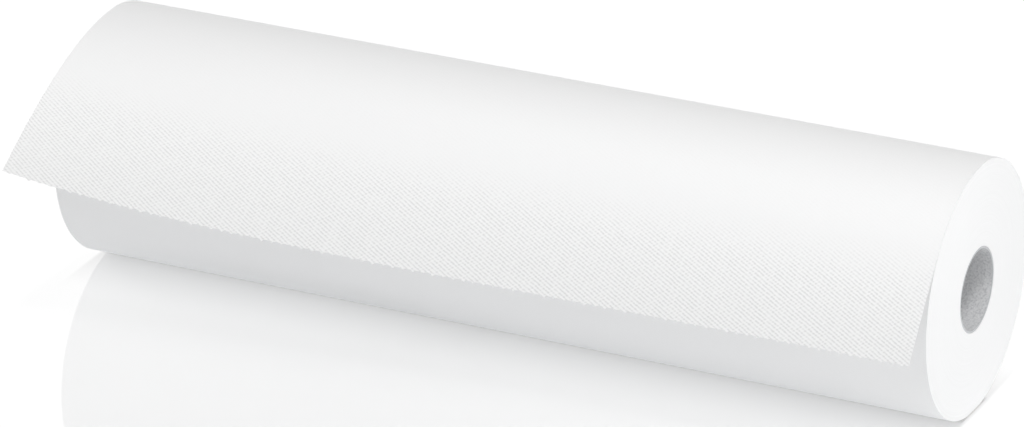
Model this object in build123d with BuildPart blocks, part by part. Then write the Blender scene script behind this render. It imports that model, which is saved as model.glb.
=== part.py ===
"""Exam table paper roll: an embossed paper web wound on a card core, with its loose end unrolled.

Millimetres. X runs along the roll, -Y is the side that the loose end hangs on, and +Z is up.
The origin is on the floor, at the middle of the small flat that the soft roll rests on.
"""
from build123d import *
from math import cos, degrees, exp, floor, radians, sin
import os

# The wound roll
roll_length = 500.0
roll_radius = 68.5
rest_flat_depth = 0.6
web_thickness = 0.3
slit_gap = 0.15

# The card core
core_bore_radius = 21.5
core_wall = 1.2

# The loose end of the web, measured from the top of the roll, at the roll's left and right ends.
# It follows the roll through the hug angle, then eases to the hang angle, both below level.
loose_length_left = 134.0
loose_length_right = 123.0
hug_angle_left = 0.0
hug_angle_right = 52.0
hang_angle_left = 40.0
hang_angle_right = 52.5
ease_length_left = 74.0
ease_length_right = 14.5
hug_slack = 1.03
twist_power = 2.25
station_shares = (0.0, 0.1, 0.25, 0.45, 0.7, 1.0)
point_shares = (0.0, 0.12, 0.26, 0.4, 0.55, 0.7, 0.85, 1.0)
path_steps = 400

# The torn perforation: short ties stand out of the free edge
tie_pitch = 5.6
tie_width = 1.3
tie_length = 0.8

# One overrun for every cut
overrun = 5.0

os.makedirs("parts", exist_ok=True)

core_radius = core_bore_radius + core_wall
quarter_step = (web_thickness + slit_gap) / 4
axis_height = roll_radius - quarter_step - rest_flat_depth
roll_top = axis_height + roll_radius
left_end = -roll_length / 2


def blend(left, right, share):
    """Value at a share of the roll's length from its left end; it changes most near that end."""
    return right + (left - right) * (1 - share) ** twist_power


def heading_at(distance, share):
    """Degrees below level that the loose end points, a distance along it from the top."""
    hug = blend(hug_angle_left, hug_angle_right, share)
    hang = blend(hang_angle_left, hang_angle_right, share)
    ease = blend(ease_length_left, ease_length_right, share)
    hug_length = radians(hug) * roll_radius * hug_slack
    if distance < hug_length:
        return degrees(distance / (roll_radius * hug_slack))
    return hang - (hang - hug) * exp(-(distance - hug_length) / ease)


def loose_line(share, depth):
    """Points (y, z) of the loose end's section at one share of the length, at a depth into it."""
    length = blend(loose_length_left, loose_length_right, share)
    step = length / path_steps
    marks = [round(point_share * path_steps) for point_share in point_shares]
    y = 0.0
    z = roll_top
    points = []
    for i in range(path_steps + 1):
        heading = radians(heading_at(i * step, share))
        if i in marks:
            points.append((y + depth * sin(heading), z - depth * cos(heading)))
        heading = radians(heading_at((i + 0.5) * step, share))
        y -= step * cos(heading)
        z -= step * sin(heading)
    return points


def share_at(x):
    """Share of the roll's length at x, kept between its ends."""
    return min(max((x - left_end) / roll_length, 0), 1)


def edge_heading(x):
    """Heading of the loose end at the free edge, at x."""
    share = share_at(x)
    return heading_at(blend(loose_length_left, loose_length_right, share), share)


def edge_point(x):
    """Point of the free edge at x."""
    return (x, *loose_line(share_at(x), 0)[-1])


# The loose end of the web, from the top of the roll to the torn edge
with BuildPart() as loose_end:
    for share in station_shares:
        outer = loose_line(share, 0)
        inner = loose_line(share, web_thickness)
        heading = radians(heading_at(blend(loose_length_left, loose_length_right, share), share))
        ends = ((-1, 0), (-cos(heading), -sin(heading)))
        with BuildSketch(Plane.YZ.offset(left_end + share * roll_length)):
            with BuildLine():
                Spline(*outer, tangents=ends)
                Line(outer[-1], inner[-1])
                Spline(*inner, tangents=ends)
                Line(inner[0], outer[0])
            make_face()
    loft()

    # The gaps between the ties, each square to the free edge where it stands
    tie_count = floor(roll_length / tie_pitch)
    gap_planes = []
    for i in range(tie_count + 1):
        middle = (i - tie_count / 2) * tie_pitch
        before = edge_point(middle - tie_pitch / 2)
        after = edge_point(middle + tie_pitch / 2)
        heading = radians(edge_heading(middle))
        along = [b - a for a, b in zip(before, after)]
        facing = (0, -sin(heading), cos(heading))
        gap_planes.append(Plane(edge_point(middle), x_dir=along, z_dir=facing))
    with Locations(*gap_planes):
        Box(tie_pitch - tie_width, 2 * tie_length, overrun, mode=Mode.SUBTRACT)

# The wound web, one solid with its loose end: its outermost turn steps in by one web and a slit, from
# the top round the back, the bottom and the front to the top again, as four arcs of a shrinking radius.
arc_centres = (
    (0, axis_height),
    (quarter_step, axis_height),
    (quarter_step, axis_height - quarter_step),
    (0, axis_height - quarter_step),
)

with BuildPart() as paper_roll:
    with BuildSketch(Plane.YZ.offset(left_end)) as turn:
        with BuildLine():
            for i in range(4):
                CenterArc(arc_centres[i], roll_radius - quarter_step * i, 90 - 90 * i, -90)
            Line((0, roll_top - 4 * quarter_step), (0, roll_top))
        make_face()
        with Locations((0, axis_height)):
            Circle(core_radius, mode=Mode.SUBTRACT)
    extrude(amount=roll_length)
    add(loose_end.part)

    # The flat that the soft roll rests on
    with Locations((0, 0, -overrun)):
        Box(roll_length + 2 * overrun, roll_radius, 2 * overrun, mode=Mode.SUBTRACT)
paper_roll.part.label = "paper_roll"
export_step(paper_roll.part, "parts/paper_roll.step")

# The card core, a plain tube as long as the roll
with BuildPart() as core_tube:
    with BuildSketch(Plane.YZ.offset(left_end)):
        with Locations((0, axis_height)):
            Circle(core_radius)
            Circle(core_bore_radius, mode=Mode.SUBTRACT)
    extrude(amount=roll_length)
core_tube.part.label = "core_tube"
export_step(core_tube.part, "parts/core_tube.step")
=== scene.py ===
import bpy
import numpy as np
from mathutils import Matrix


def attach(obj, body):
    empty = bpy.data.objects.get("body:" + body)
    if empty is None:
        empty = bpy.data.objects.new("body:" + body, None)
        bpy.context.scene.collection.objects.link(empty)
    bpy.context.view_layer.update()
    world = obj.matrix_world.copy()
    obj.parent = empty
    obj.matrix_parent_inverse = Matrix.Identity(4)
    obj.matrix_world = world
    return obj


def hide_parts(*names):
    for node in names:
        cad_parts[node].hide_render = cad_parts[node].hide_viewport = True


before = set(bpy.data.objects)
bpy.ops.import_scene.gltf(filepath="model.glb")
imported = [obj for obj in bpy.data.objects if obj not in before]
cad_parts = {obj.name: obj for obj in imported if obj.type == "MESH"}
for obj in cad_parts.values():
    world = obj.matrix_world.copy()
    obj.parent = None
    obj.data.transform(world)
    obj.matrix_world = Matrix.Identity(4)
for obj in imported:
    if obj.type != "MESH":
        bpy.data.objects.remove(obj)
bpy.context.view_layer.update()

# The card core: a tube of grey board made from waste paper, wound from two plies on the slant,
# glued and cut off square. It is as long as the roll, and the paper is wound straight onto it.
ROLL_LENGTH = 0.5
AXIS_HEIGHT = 0.0677875
CORE_OUTSIDE = 0.0227
CORE_BORE = 0.0215
CUT_SETBACK = 0.0001
CUT_ROUND = 0.0004
PLY_PITCH = 0.095
PLY_EDGE = 0.00012


def grid_faces(rows, columns, first=0, closed=False, flip=False):
    """Four-cornered faces of a grid of points stored row by row, from the given first point on.
    closed joins the last row and column to the first ones, as on a ring, and flip turns the faces over."""
    row = np.arange(rows if closed else rows - 1)[:, None]
    column = np.arange(columns if closed else columns - 1)[None, :]
    row_after = (row + 1) % rows
    column_after = (column + 1) % columns
    corners = [
        row * columns + column,
        row * columns + column_after,
        row_after * columns + column_after,
        row_after * columns + column,
    ]
    faces = np.stack(np.broadcast_arrays(*corners), -1).reshape(-1, 4) + first
    return faces[:, ::-1] if flip else faces


def new_piece(name, points, faces, material, web=None, sharp=40):
    """One closed mesh in the row frame, smooth apart from edges sharper than the given angle in degrees."""
    mesh = bpy.data.meshes.new(name)
    mesh.from_pydata(points.tolist(), [], faces)
    mesh.update()
    if web is not None:
        corners = np.empty(len(mesh.loops), np.int32)
        mesh.loops.foreach_get("vertex_index", corners)
        layer = mesh.uv_layers.new(name="web")
        layer.data.foreach_set("uv", web[corners].astype(np.float32).ravel())
    mesh.shade_smooth()
    mesh.set_sharp_from_angle(angle=np.radians(sharp))
    mesh.materials.append(material)
    piece = bpy.data.objects.new(name, mesh)
    bpy.context.scene.collection.objects.link(piece)
    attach(piece, "root")
    return piece


def new_material(name, roughness):
    """A node material with one shader, and two short ways to add and wire nodes."""
    material = bpy.data.materials.new(name)
    material.use_nodes = True
    tree = material.node_tree
    shader = tree.nodes["Principled BSDF"]
    shader.inputs["Roughness"].default_value = roughness

    def node(kind, **settings):
        made = tree.nodes.new(kind)
        for key, value in settings.items():
            setattr(made, key, value)
        return made

    def maths(operation, *values):
        made = node("ShaderNodeMath", operation=operation)
        for i, value in enumerate(values):
            if isinstance(value, (int, float)):
                made.inputs[i].default_value = value
            else:
                tree.links.new(value, made.inputs[i])
        return made.outputs[0]

    return material, tree, shader, node, maths


def core_mesh(turns=128, columns=126):
    """A profile (along, radius) closed round the wall and carried round the axis.
    The bore's radius has a shallow step along a helix, where one ply's edge lies over the next."""
    half = ROLL_LENGTH / 2 - CUT_SETBACK
    along = np.linspace(-half + CUT_ROUND, half - CUT_ROUND, columns)
    cut_x = half - CUT_ROUND * np.array([0.25, 0, 0, 0.25])
    cut_radius = np.array([CORE_BORE, CORE_BORE, CORE_OUTSIDE, CORE_OUTSIDE])
    cut_radius = cut_radius + CUT_ROUND * np.array([0, 0.5, -0.75, -0.25])
    inside = np.stack([along, np.full(columns, CORE_BORE)], 1)
    right = np.stack([cut_x, cut_radius], 1)
    left = right[::-1] * [-1, 1]
    outer_radius = CORE_OUTSIDE - CUT_ROUND / 8
    outside = np.array([[half - 0.001, outer_radius], [-half + 0.001, outer_radius]])
    profile = np.concatenate([inside, right, outside, left])
    angle = np.linspace(0, 2 * np.pi, turns, endpoint=False)[:, None]
    x = np.broadcast_to(profile[:, 0], (turns, len(profile)))
    helix = np.mod(x / PLY_PITCH + angle / (2 * np.pi), 1)
    step = np.clip(helix / 0.05, 0, 1) - np.clip((helix - 0.5) / 0.5, 0, 1)
    bore = (np.arange(len(profile)) < columns) * np.clip((half - np.abs(x)) / 0.004, 0, 1)
    radius = profile[:, 1] + bore * PLY_EDGE * step
    points = np.stack([x, radius * np.sin(angle), AXIS_HEIGHT + radius * np.cos(angle)], -1)
    return points.reshape(-1, 3), grid_faces(turns, len(profile), closed=True, flip=True)


core_points, core_faces = core_mesh()

card, tree, shader, node, maths = new_material("grey_board", 0.82)
place = node("ShaderNodeTexCoord").outputs["Object"]
fleck = node("ShaderNodeTexNoise")
fleck.inputs["Scale"].default_value = 900
fleck.inputs["Detail"].default_value = 3
tree.links.new(place, fleck.inputs["Vector"])
tone = node("ShaderNodeValToRGB")
tone.color_ramp.elements[0].position = 0.30
tone.color_ramp.elements[0].color = (0.57, 0.575, 0.59, 1)
tone.color_ramp.elements[1].position = 0.66
tone.color_ramp.elements[1].color = (0.83, 0.835, 0.84, 1)
middle = tone.color_ramp.elements.new(0.47)
middle.color = (0.73, 0.735, 0.745, 1)
split = node("ShaderNodeSeparateXYZ")
tree.links.new(place, split.inputs[0])
cut_start = ROLL_LENGTH / 2 - CUT_SETBACK - CUT_ROUND
# The cut ends are darker in colour: painted shade for light caught among their rough cut fibres, so their
# ring reads with the shaded bore.
cut_end_painted_shade = maths("GREATER_THAN", maths("ABSOLUTE", split.outputs["X"]), cut_start)
tree.links.new(maths("MULTIPLY_ADD", cut_end_painted_shade, -0.35, fleck.outputs["Fac"]), tone.inputs["Fac"])
tree.links.new(tone.outputs["Color"], shader.inputs["Base Color"])
bump = node("ShaderNodeBump")
bump.inputs["Strength"].default_value = 0.5
bump.inputs["Distance"].default_value = 0.00012
tree.links.new(fleck.outputs["Fac"], bump.inputs["Height"])
tree.links.new(bump.outputs["Normal"], shader.inputs["Normal"])

core = new_piece("card_core", core_points, core_faces.tolist(), card)
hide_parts("core_tube")

# The wound turns: some hundred and fifty layers of thin web, so tight that they are one mass.
# Their cut edges make the flat ends, where each turn stands a hair in front of or behind the next.
ROLL_RADIUS = 0.0685
WEB = 0.0003
TURN_STEP = 0.00045
GAP = 0.00005
SIDE_INSET = 0.0005


def wound_mesh(turns=240, rings=46):
    """A profile (along, radius) round the axis: out along one end, over the side, in along the other.
    Its outside is a spiral, one web inside the outermost turn, that steps down by one turn at the top.
    Each ring of the ends is set back by its own random hair, which swells and fades round the turn."""
    rng = np.random.default_rng(11)
    angle = np.linspace(0, 2 * np.pi, turns, endpoint=False)[:, None]
    spiral = TURN_STEP * np.where(angle == 0, 2 * np.pi, angle) / (2 * np.pi)
    side_radius = ROLL_RADIUS - WEB - GAP - spiral
    hole_radius = CORE_OUTSIDE + GAP / 2
    radius = hole_radius + (side_radius - hole_radius) * np.linspace(0.0005, 0.9995, rings)
    ends = []
    for side in (-1, 1):
        level = rng.uniform(0, 1, rings)
        level = 0.6 * level + 0.4 * np.convolve(np.pad(level, 3, "wrap"), np.ones(7) / 7, "valid")
        depth = rng.uniform(0.1, 0.5, rings)
        swell = depth * np.sin(angle * rng.integers(1, 4, rings) + rng.uniform(0, 6.28, rings))
        back = 0.00003 + 0.00011 * np.clip(level + 0.35 * swell, 0, 1)
        ends.append(side * (ROLL_LENGTH / 2 - back))
    side_x = np.broadcast_to((ROLL_LENGTH / 2 - SIDE_INSET) * np.array([-1, 1]), (turns, 2))
    x = np.concatenate([ends[0], side_x, ends[1][:, ::-1], side_x[:, ::-1]], 1)
    over, under = np.repeat(side_radius, 2, 1), np.full((turns, 2), hole_radius)
    r = np.concatenate([radius, over, radius[:, ::-1], under], 1)
    z = np.maximum(AXIS_HEIGHT + r * np.cos(angle), WEB + GAP)
    points = np.stack([x, r * np.sin(angle), z], -1)
    return points.reshape(-1, 3), grid_faces(turns, x.shape[1], closed=True)


wound_points, wound_faces = wound_mesh()

turns_paper, tree, shader, node, maths = new_material("paper_edges", 0.9)
place = node("ShaderNodeTexCoord").outputs["Object"]
split = node("ShaderNodeSeparateXYZ")
tree.links.new(place, split.inputs[0])
rise = maths("SUBTRACT", split.outputs["Z"], AXIS_HEIGHT)
beside = split.outputs["Y"]
radius = maths("SQRT", maths("MULTIPLY_ADD", beside, beside, maths("MULTIPLY", rise, rise)))
turn = maths("DIVIDE", maths("ARCTAN2", beside, rise), 2 * np.pi)
count = maths("ADD", maths("DIVIDE", radius, 2 * TURN_STEP), turn)
layers = node("ShaderNodeTexNoise", noise_dimensions="1D")
layers.inputs["Scale"].default_value = 1.0
layers.inputs["Detail"].default_value = 2
tree.links.new(count, layers.inputs["W"])
fibre = node("ShaderNodeTexNoise")
fibre.inputs["Scale"].default_value = 1400
fibre.inputs["Detail"].default_value = 2
tree.links.new(place, fibre.inputs["Vector"])
height = maths("MULTIPLY_ADD", layers.outputs["Fac"], 0.7, maths("MULTIPLY", fibre.outputs["Fac"], 0.3))
bump = node("ShaderNodeBump")
bump.inputs["Strength"].default_value = 0.35
bump.inputs["Distance"].default_value = 0.0001
tree.links.new(height, bump.inputs["Height"])
tree.links.new(bump.outputs["Normal"], shader.inputs["Normal"])
tone = node("ShaderNodeValToRGB")
tone.color_ramp.elements[0].position = 0.25
tone.color_ramp.elements[0].color = (0.905, 0.905, 0.905, 1)
tone.color_ramp.elements[1].position = 0.7
tone.color_ramp.elements[1].color = (0.94, 0.94, 0.94, 1)
tree.links.new(height, tone.inputs["Fac"])
tree.links.new(tone.outputs["Color"], shader.inputs["Base Color"])

wound = new_piece("wound_turns", wound_points, wound_faces.tolist(), turns_paper)
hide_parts("paper_roll")

# The outermost turn and the loose end, one run of soft white web, embossed with fine slanting
# ribs. It leaves the roll at the top, hangs clear of it, and ends where the last sheet was torn.
LOOSE_LEFT, LOOSE_RIGHT = 0.134, 0.123
HUG_LEFT, HUG_RIGHT = 0.0, 52.0
HANG_LEFT, HANG_RIGHT = 40.0, 52.5
EASE_LEFT, EASE_RIGHT = 0.074, 0.0145
HUG_SLACK = 1.01
TWIST_POWER = 2.25
TIE_PITCH, TIE_WIDTH, TIE_LENGTH = 0.0056, 0.0013, 0.0008
TUFT_EDGE = 0.00018
SLACK_DIP = 0.00004
COARSE, PER_COARSE, STATIONS = 90, 16, 48
TIP_RUN = 0.003
FLATTENED = 0.058, 0.092


def loose_end(x, stations=STATIONS):
    """The loose end's outer face for each x: it follows the roll through the hug angle, then its heading
    eases to the hang angle. Points (y, z) are the running sums of the heading's cosine and sine."""
    share = np.clip(x / ROLL_LENGTH + 0.5, 0, 1)[:, None]
    away = (1 - share) ** TWIST_POWER
    length = LOOSE_RIGHT + (LOOSE_LEFT - LOOSE_RIGHT) * away
    hug = np.radians(HUG_RIGHT + (HUG_LEFT - HUG_RIGHT) * away)
    hang = np.radians(HANG_RIGHT + (HANG_LEFT - HANG_RIGHT) * away)
    ease = EASE_RIGHT + (EASE_LEFT - EASE_RIGHT) * away
    hug_length = hug * ROLL_RADIUS * HUG_SLACK

    def heading(run):
        free = hang - (hang - hug) * np.exp(-np.maximum(run - hug_length, 0) / ease)
        return np.where(run < hug_length, run / (ROLL_RADIUS * HUG_SLACK), free)

    fine = 8
    middle = (np.arange(fine * stations) + 0.5) / (fine * stations)
    step = length / (fine * stations)
    slope = heading(middle * length)
    y = -np.cumsum(step * np.cos(slope), 1)[:, fine - 1 :: fine]
    z = -np.cumsum(step * np.sin(slope), 1)[:, fine - 1 :: fine]
    run = np.linspace(0, 1, stations + 1)[1:] * length
    return y, AXIS_HEIGHT + ROLL_RADIUS + z, run, heading(run), length[:, 0]


def web_points(x, winding=144):
    """Outer and inner faces of the web as rows from its hidden start under the top, once round the roll
    on a spiral that grows by one turn's step, and on along the loose end, as far as TIP_RUN from the tear."""
    turn = np.linspace(2 * np.pi, 0, winding + 1)[None, :]
    wave = np.sin(23 * x[:, None] + 2 * turn + 0.4) + 0.6 * np.sin(61 * x[:, None] - 3 * turn)
    fade = np.clip(np.minimum(turn, 2 * np.pi - turn) / 0.5, 0, 1)
    radius = ROLL_RADIUS - TURN_STEP * turn / (2 * np.pi) - SLACK_DIP * fade * (1.6 + wave) / 2
    wound_y, wound_z = radius * np.sin(turn), AXIS_HEIGHT + radius * np.cos(turn)
    under_y, under_z = (radius - WEB) * np.sin(turn), AXIS_HEIGHT + (radius - WEB) * np.cos(turn)
    y, z, run, slope, length = loose_end(x)
    keep = STATIONS - 2
    last = (length - TIP_RUN)[:, None]
    y = np.concatenate([y[:, :keep], y[:, -1:] + TIP_RUN * np.cos(slope[:, -1:])], 1)
    z = np.concatenate([z[:, :keep], z[:, -1:] + TIP_RUN * np.sin(slope[:, -1:])], 1)
    run = np.concatenate([run[:, :keep], last], 1)
    slope = np.concatenate([slope[:, :keep], slope[:, -1:]], 1)
    outer_y = np.concatenate([wound_y, y], 1)
    outer_z = np.concatenate([np.maximum(wound_z, 0), z], 1)
    inner_y = np.concatenate([under_y, y + WEB * np.sin(slope)], 1)
    inner_z = np.concatenate([np.maximum(under_z, WEB), z - WEB * np.cos(slope)], 1)
    along = np.concatenate([-ROLL_RADIUS * np.broadcast_to(turn, wound_y.shape), run], 1)
    return np.stack([outer_y, outer_z], -1), np.stack([inner_y, inner_z], -1), along


def tear_line(x):
    """How far each point of the torn edge stands past the knife cuts: nothing between the ties,
    and a ragged tuft of up to the ties' length, a little over it in places, on each tie."""
    rng = np.random.default_rng(5)
    tie = np.round(x / TIE_PITCH).astype(int)
    off = np.abs(x - tie * TIE_PITCH)
    tuft = np.clip((TIE_WIDTH / 2 + TUFT_EDGE - off) / TUFT_EDGE, 0, 1)
    tall = rng.uniform(0.55, 1.15, 400)[tie % 400]
    ragged = rng.uniform(-0.00028, 0.00016, len(x))
    return tuft * (TIE_LENGTH * tall + ragged) + rng.uniform(-0.00004, 0.00004, len(x))


def torn_strip(x, rows=4):
    """The last TIP_RUN of the web on fine columns: straight runs from the coarse rows to the tear line."""
    y, z, _, slope, length = loose_end(x)
    y, z, slope = y[:, -1], z[:, -1], slope[:, -1]
    share = (np.arange(1, rows + 1) / rows)[None, :]
    reach = TIP_RUN - TIE_LENGTH + tear_line(x)[:, None] * share**2
    run = reach * share - TIP_RUN
    y = y[:, None] - run * np.cos(slope)[:, None]
    z = z[:, None] - run * np.sin(slope)[:, None]
    slope = np.broadcast_to(slope[:, None], y.shape)
    outer = np.stack([y, z], -1)
    inner = np.stack([y + WEB * np.sin(slope), z - WEB * np.cos(slope)], -1)
    return outer, inner, length[:, None] + run


def with_x(x, section):
    """Points (y, z) on each x as rows of points along the web."""
    x = np.broadcast_to(x[:, None], section.shape[:2])
    return np.concatenate([x[..., None], section], -1).transpose(1, 0, 2).reshape(-1, 3)


coarse_x = ROLL_LENGTH * np.linspace(-0.5, 0.5, COARSE + 1)
fine_x = ROLL_LENGTH * np.linspace(-0.5, 0.5, COARSE * PER_COARSE + 1)
outer, inner, along = web_points(coarse_x)
strip_outer, strip_inner, strip_along = torn_strip(fine_x)
rows, strip_rows = outer.shape[1], strip_outer.shape[1]
columns, fine_columns = len(coarse_x), len(fine_x)
blocks = [
    with_x(coarse_x, outer),
    with_x(coarse_x, inner),
    with_x(fine_x, strip_outer),
    with_x(fine_x, strip_inner),
]
start = np.cumsum([0] + [len(block) for block in blocks])
web_mesh_points = np.concatenate(blocks)
web_run = np.concatenate([along.T.ravel(), along.T.ravel(), strip_along.T.ravel(), strip_along.T.ravel()])
web_uv = np.stack([web_mesh_points[:, 0], web_run], 1)


def joining_faces(coarse_first, fine_first, flip):
    """Faces between the last coarse row and the first fine row, each with one coarse and many fine edges."""
    i = np.arange(COARSE)[:, None]
    near = coarse_first + (rows - 1) * columns + i
    far = fine_first + i * PER_COARSE + np.arange(PER_COARSE + 1)[None, :]
    faces = np.concatenate([near, far, near + 1], 1)
    return faces[:, ::-1] if flip else faces


def wall_faces(first, second):
    """Faces between two lines of points, one on each face of the web."""
    return np.stack([first[:-1], second[:-1], second[1:], first[1:]], 1)


coarse_row = np.arange(rows) * columns
fine_row = np.arange(strip_rows) * fine_columns
left = [np.concatenate([start[i] + coarse_row, start[i + 2] + fine_row]) for i in (0, 1)]
right = [
    np.concatenate([start[i] + coarse_row + columns - 1, start[i + 2] + fine_row + fine_columns - 1])
    for i in (0, 1)
]
root = [start[i] + np.arange(columns) for i in (0, 1)]
tear = [start[i] + (strip_rows - 1) * fine_columns + np.arange(fine_columns) for i in (2, 3)]
web_faces = [
    grid_faces(rows, columns, start[0], flip=True),
    grid_faces(rows, columns, start[1]),
    grid_faces(strip_rows, fine_columns, start[2], flip=True),
    grid_faces(strip_rows, fine_columns, start[3]),
    joining_faces(start[0], start[2], False),
    joining_faces(start[1], start[3], True),
    wall_faces(*left),
    wall_faces(*right[::-1]),
    wall_faces(*root[::-1]),
    wall_faces(*tear),
]
web_faces = [face for block in web_faces for face in block.tolist()]

paper, tree, shader, node, maths = new_material("embossed_paper", 0.88)
web_map = node("ShaderNodeUVMap", uv_map="web").outputs[0]
waver = node("ShaderNodeTexNoise", noise_dimensions="2D")
waver.inputs["Scale"].default_value = 260
tree.links.new(web_map, waver.inputs["Vector"])
drift = node("ShaderNodeVectorMath", operation="MULTIPLY_ADD")
tree.links.new(waver.outputs["Color"], drift.inputs[0])
drift.inputs[1].default_value = (0.0006, 0.0006, 0)
tree.links.new(web_map, drift.inputs[2])


def ribs(across, along_web):
    """A wave over the web with the given counts per millimetre across and along it, from -1 to 1."""
    dot = node("ShaderNodeVectorMath", operation="DOT_PRODUCT")
    tree.links.new(drift.outputs[0], dot.inputs[0])
    dot.inputs[1].default_value = (2000 * np.pi * across, 2000 * np.pi * along_web, 0)
    return maths("COSINE", dot.outputs["Value"])


def patches(scale, low, high):
    """Soft patches from low to high, where the embossing roll bit less or more into the web."""
    noise = node("ShaderNodeTexNoise", noise_dimensions="2D")
    noise.inputs["Scale"].default_value = scale
    noise.inputs["Detail"].default_value = 1
    tree.links.new(web_map, noise.inputs["Vector"])
    bite = node("ShaderNodeMapRange")
    for name, value in {"From Min": 0.35, "From Max": 0.65, "To Min": low, "To Max": high}.items():
        bite.inputs[name].default_value = value
    tree.links.new(noise.outputs["Fac"], bite.inputs["Value"])
    return bite.outputs["Result"]


def smooth_range(value, start, end, low, high):
    """A value's smooth rise from low to high between start and end."""
    rise = node("ShaderNodeMapRange", interpolation_type="SMOOTHSTEP")
    for name, limit in {"From Min": start, "From Max": end, "To Min": low, "To Max": high}.items():
        rise.inputs[name].default_value = limit
    tree.links.new(value, rise.inputs["Value"])
    return rise.outputs["Result"]


split = node("ShaderNodeSeparateXYZ")
tree.links.new(web_map, split.inputs[0])
loosening = smooth_range(split.outputs["Y"], *FLATTENED, 0.06, 1.0)
main = maths("MULTIPLY", ribs(0.262, -0.494), patches(190, 0.20, 0.38))
cross = maths("MULTIPLY", ribs(0.403, 0.503), patches(240, 0.03, 0.17))
weak = maths("ADD", maths("MULTIPLY", ribs(0.188, 0.350), 0.05), maths("MULTIPLY", ribs(0.310, 0.035), 0.05))
bitten = maths("ADD", maths("ADD", main, cross), weak)
emboss = maths("MULTIPLY_ADD", bitten, loosening, 0.5)
fibre = node("ShaderNodeTexNoise", noise_dimensions="2D")
fibre.inputs["Scale"].default_value = 1100
fibre.inputs["Detail"].default_value = 3
tree.links.new(web_map, fibre.inputs["Vector"])
height = maths("ADD", maths("MULTIPLY", emboss, 0.85), maths("MULTIPLY", fibre.outputs["Fac"], 0.15))
bump = node("ShaderNodeBump")
bump.inputs["Strength"].default_value = 1.0
bump.inputs["Distance"].default_value = 0.00013
tree.links.new(height, bump.inputs["Height"])
tree.links.new(bump.outputs["Normal"], shader.inputs["Normal"])
# The colour follows the ribs, darker in their hollows and lighter on their crests: painted shade and painted
# light, with the fibres' random tone on top.
rib_shade_and_fibre_tone = maths("MULTIPLY_ADD", maths("SUBTRACT", fibre.outputs["Fac"], 0.5), 0.08, emboss)
tone = node("ShaderNodeValToRGB")
tone.color_ramp.elements[0].position = 0.15
tone.color_ramp.elements[0].color = (0.80, 0.80, 0.80, 1)
tone.color_ramp.elements[1].position = 0.8
tone.color_ramp.elements[1].color = (0.96, 0.96, 0.96, 1)
flat_tone = tone.color_ramp.elements.new(0.5)
flat_tone.color = (0.925, 0.925, 0.925, 1)
tree.links.new(rib_shade_and_fibre_tone, tone.inputs["Fac"])
tree.links.new(tone.outputs["Color"], shader.inputs["Base Color"])

web = new_piece("outer_turn", web_mesh_points, web_faces, paper, web=web_uv, sharp=50)
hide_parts("paper_roll")

# The torn ties: each one pulls out into a few hairs of paper fibre, finer towards their ends, that
# point on past the tear and curl a little out of the sheet.
HAIRS_PER_TIE = 4
HAIR_WIDTH = 0.00007


def tie_hairs(last_tie=44):
    """Hairs as tapered three-sided rods along a bent line: root + length * (t * way + t squared * curl).
    Each has two rings of three points and one end point, and a flat face on its root."""
    rng = np.random.default_rng(23)
    tie = np.repeat(np.arange(-last_tie, last_tie + 1), HAIRS_PER_TIE)
    count = len(tie)
    x = tie * TIE_PITCH + rng.uniform(-0.5, 0.5, count) * TIE_WIDTH
    y, z, _, slope, length = loose_end(x)
    y, z, slope = y[:, -1], z[:, -1], slope[:, -1]
    onward = np.stack([np.zeros(count), -np.cos(slope), -np.sin(slope)], 1)
    outward = np.stack([np.zeros(count), -np.sin(slope), np.cos(slope)], 1)
    sideways = np.array([[1.0, 0.0, 0.0]])
    back = rng.uniform(0.0003, 0.0006, count)[:, None]
    root = np.stack([x, y, z], 1) - onward * back - outward * WEB / 2
    lean_side = rng.normal(0, 0.4, count)[:, None]
    lean_out = rng.normal(0, 0.25, count)[:, None]
    way = onward + sideways * lean_side + outward * lean_out
    curl = sideways * rng.normal(0, 0.35, count)[:, None] + outward * rng.normal(0, 0.3, count)[:, None]
    reach = rng.uniform(0.0006, 0.0015, count)[:, None]
    turn = np.arange(3) * 2 * np.pi / 3
    ring = np.cos(turn)[None, :, None] * sideways[:, None] + np.sin(turn)[None, :, None] * outward[:, None]
    first = root[:, None] + HAIR_WIDTH / 2 * ring
    middle = (root + reach * (way / 2 + curl / 4))[:, None] + HAIR_WIDTH / 3 * ring
    end = (root + reach * (way + curl))[:, None]
    points = np.concatenate([first, middle, end], 1).reshape(-1, 3)
    hair_faces = [(0, 1, 4, 3), (1, 2, 5, 4), (2, 0, 3, 5), (3, 4, 6), (4, 5, 6), (5, 3, 6), (2, 1, 0)]
    faces = [[7 * i + corner for corner in face] for i in range(count) for face in hair_faces]
    return points, faces, np.repeat(np.stack([x, length], 1), 7, 0)


hair_points, hair_faces, hair_uv = tie_hairs()
hairs = new_piece("tie_hairs", hair_points, hair_faces, paper, web=hair_uv, sharp=80)
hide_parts("paper_roll")

# The studio's glossy white floor, which shows the roll's faint reflection. It has light of its own:
# what the camera sees darkens towards the roll as a painted shadow, with a narrow, darker painted
# contact shadow close to the roll, and a bluish part lights the roll's underside. Each part changes
# over its reach from the line that the roll rests on, and faster past the roll's ends.
FLOOR_HALF = 6
FLOOR_LEVEL = -0.00006
NEAR_REACH, NEAR_PAINTED_SHADOW = (0.0, 0.07), (0.57, 0.86)
FAR_REACH, FAR_WHITE = (0.12, 0.40), 0.07
CONTACT_REACH, CONTACT_PAINTED_SHADOW = (0.014, 0.0195), -0.20
GLOW_REACH, UNDER_GLOW = (0.0, 0.025), 0.37
END_FALL = 20.0
MIRROR_REACH, MIRROR_SHARE = (-0.6, -0.2), 0.34
floor_mesh = bpy.data.meshes.new("floor")
corner_signs = ((-1, -1), (1, -1), (1, 1), (-1, 1))
floor_corners = [(FLOOR_HALF * i, FLOOR_HALF * j, FLOOR_LEVEL) for i, j in corner_signs]
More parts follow.
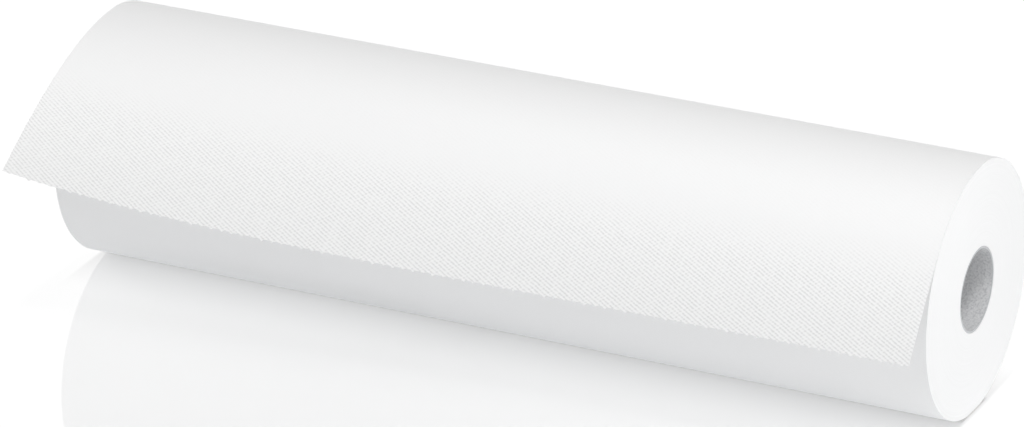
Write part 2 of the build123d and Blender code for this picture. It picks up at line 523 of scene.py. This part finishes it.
floor_mesh.from_pydata(floor_corners, [], [(0, 1, 2, 3)])
floor = bpy.data.objects.new("floor", floor_mesh)
bpy.context.scene.collection.objects.link(floor)
white, tree, shader, node, maths = new_material("white_floor", 0.6)
tree.nodes.remove(shader)
matt = node("ShaderNodeBsdfDiffuse")
glow = node("ShaderNodeEmission")
rays = node("ShaderNodeLightPath")
seen = maths("MAXIMUM", rays.outputs["Is Camera Ray"], rays.outputs["Is Glossy Ray"])
seen = maths("MAXIMUM", seen, rays.outputs["Is Transmission Ray"])
bounced = rays.outputs["Is Diffuse Ray"]
place = node("ShaderNodeTexCoord").outputs["Object"]
split = node("ShaderNodeSeparateXYZ")
tree.links.new(place, split.inputs[0])
past_end = maths("MAXIMUM", maths("SUBTRACT", maths("ABSOLUTE", split.outputs["X"]), ROLL_LENGTH / 2), 0.0)
past_end = maths("MULTIPLY", past_end, END_FALL)
beside = maths("ABSOLUTE", split.outputs["Y"])
away = maths("SQRT", maths("MULTIPLY_ADD", beside, beside, maths("MULTIPLY", past_end, past_end)))
# What the camera sees: white that darkens towards the roll as a painted shadow, and a narrow painted contact
# shadow next to it.
white_with_painted_shadow = smooth_range(away, *NEAR_REACH, *NEAR_PAINTED_SHADOW)
white_with_painted_shadow = maths("ADD", white_with_painted_shadow, smooth_range(away, *FAR_REACH, 0.0, FAR_WHITE))
white_with_painted_shadow = maths("ADD", white_with_painted_shadow, smooth_range(away, *CONTACT_REACH, CONTACT_PAINTED_SHADOW, 0.0))
shown = maths("MULTIPLY", seen, white_with_painted_shadow)
lit = maths("MULTIPLY", bounced, smooth_range(away, *GLOW_REACH, 0.0, UNDER_GLOW))
albedo = node("ShaderNodeMix", data_type="RGBA")
albedo.inputs["A"].default_value = (0.8, 0.8, 0.8, 1)
albedo.inputs["B"].default_value = (0.2, 0.2, 0.2, 1)
tree.links.new(seen, albedo.inputs["Factor"])
tree.links.new(albedo.outputs["Result"], matt.inputs["Color"])
tree.links.new(maths("ADD", shown, lit), glow.inputs["Strength"])
tint = node("ShaderNodeMix", data_type="RGBA")
tint.inputs["A"].default_value = (1, 1, 1, 1)
tint.inputs["B"].default_value = (0.935, 0.965, 1.0, 1)
tree.links.new(bounced, tint.inputs["Factor"])
tree.links.new(tint.outputs["Result"], glow.inputs["Color"])
ground = node("ShaderNodeAddShader")
tree.links.new(matt.outputs[0], ground.inputs[0])
tree.links.new(glow.outputs[0], ground.inputs[1])
mirror = node("ShaderNodeBsdfGlossy")
mirror.inputs["Color"].default_value = (1, 1, 1, 1)
mirror.inputs["Roughness"].default_value = 0.03
share = smooth_range(split.outputs["Y"], *MIRROR_REACH, 0.0, MIRROR_SHARE)
mix = node("ShaderNodeMixShader")
tree.links.new(share, mix.inputs[0])
tree.links.new(ground.outputs[0], mix.inputs[1])
tree.links.new(mirror.outputs[0], mix.inputs[2])
tree.links.new(mix.outputs[0], tree.nodes["Material Output"].inputs["Surface"])
floor_mesh.materials.append(white)

# The studio's air and lamps: plain white where the camera or a mirror looks, a dim even light on the
# roll, a strip close above the front for the sheet's highlight, and large soft lamps all round.
AIR_LIGHT = 0.28
world = bpy.data.worlds.new("studio")
bpy.context.scene.world = world
world.use_nodes = True
tree = world.node_tree
sky = tree.nodes["Background"]
sky.inputs["Color"].default_value = (1.0, 1.0, 1.0, 1)
sky.inputs["Strength"].default_value = AIR_LIGHT
plain = tree.nodes.new("ShaderNodeBackground")
plain.inputs["Color"].default_value = (1, 1, 1, 1)
plain.inputs["Strength"].default_value = 1.0
rays = tree.nodes.new("ShaderNodeLightPath")
seen = tree.nodes.new("ShaderNodeMath")
seen.operation = "MAXIMUM"
tree.links.new(rays.outputs["Is Camera Ray"], seen.inputs[0])
tree.links.new(rays.outputs["Is Glossy Ray"], seen.inputs[1])
through = tree.nodes.new("ShaderNodeMath")
through.operation = "MAXIMUM"
tree.links.new(seen.outputs[0], through.inputs[0])
tree.links.new(rays.outputs["Is Transmission Ray"], through.inputs[1])
either = tree.nodes.new("ShaderNodeMixShader")
tree.links.new(through.outputs[0], either.inputs[0])
tree.links.new(sky.outputs[0], either.inputs[1])
tree.links.new(plain.outputs[0], either.inputs[2])
tree.links.new(either.outputs[0], tree.nodes["World Output"].inputs["Surface"])


def soft_lamp(name, direction, distance, width, depth, level):
    """A flat lamp facing the roll's axis from a direction; level is the white it gives a wall facing it."""
    lamp = bpy.data.lights.new(name, "AREA")
    lamp.shape = "RECTANGLE"
    lamp.size = width
    lamp.size_y = depth
    lamp.energy = level * np.pi**2 * distance**2
    holder = bpy.data.objects.new(name, lamp)
    holder.visible_camera = False
    holder.visible_glossy = False
    bpy.context.scene.collection.objects.link(holder)
    back = np.array(direction) / np.linalg.norm(direction)
    side = np.cross([0, 1, 0], back)
    side /= np.linalg.norm(side)
    turn = np.eye(4)
    turn[:3, :3] = np.stack([side, np.cross(back, side), back], 1)
    turn[:3, 3] = np.array([0, 0, AXIS_HEIGHT]) + distance * back
    holder.matrix_world = Matrix(turn.tolist())


soft_lamp("strip_above", (0, -0.47, 0.88), 0.25, 1.3, 0.10, 0.87)
soft_lamp("lamp_high", (0.35, -0.25, 0.90), 3.0, 0.5, 0.5, 0.23)
soft_lamp("lamp_right", (1.0, -0.15, 0.25), 3.0, 1.2, 1.2, 0.26)
soft_lamp("lamp_front", (0.08, -1.0, 0.05), 2.0, 2.0, 0.5, 0.17)
soft_lamp("lamp_back", (0.2, 1.0, 0.0), 2.0, 2.0, 0.5, 0.29)
soft_lamp("lamp_left", (-1.0, 0.55, 0.05), 3.0, 1.2, 1.2, 0.45)

# The camera, far off with a long lens, to the right of the front and a little above. It is aimed a
# little to the left of the roll's middle and below it, as shares of the roll's radius.
TURN, LIFT = np.radians(25.787), np.radians(23.408)
CAMERA_AWAY, AIM_LEFT, AIM_BELOW = 50, 0.172, 0.064
FOCAL_LENGTH, SENSOR_WIDTH = 229.6, 36
toward = np.array([np.sin(TURN) * np.cos(LIFT), -np.cos(TURN) * np.cos(LIFT), np.sin(LIFT)])
rightward = np.array([np.cos(TURN), np.sin(TURN), 0.0])
upward = np.cross(toward, rightward)
pose = np.eye(4)
pose[:3, :3] = np.stack([rightward, upward, toward], 1)
offset = CAMERA_AWAY * toward - AIM_LEFT * rightward - AIM_BELOW * upward
pose[:3, 3] = [0, 0, AXIS_HEIGHT] + ROLL_RADIUS * offset
lens = bpy.data.cameras.new("camera")
lens.sensor_width = SENSOR_WIDTH
lens.lens = FOCAL_LENGTH
lens.clip_end = 30
camera = bpy.data.objects.new("camera", lens)
camera.matrix_world = Matrix(pose.tolist())
bpy.context.scene.collection.objects.link(camera)
bpy.context.scene.camera = camera
bpy.context.scene.view_settings.view_transform = "Standard"

bpy.context.view_layer.update()
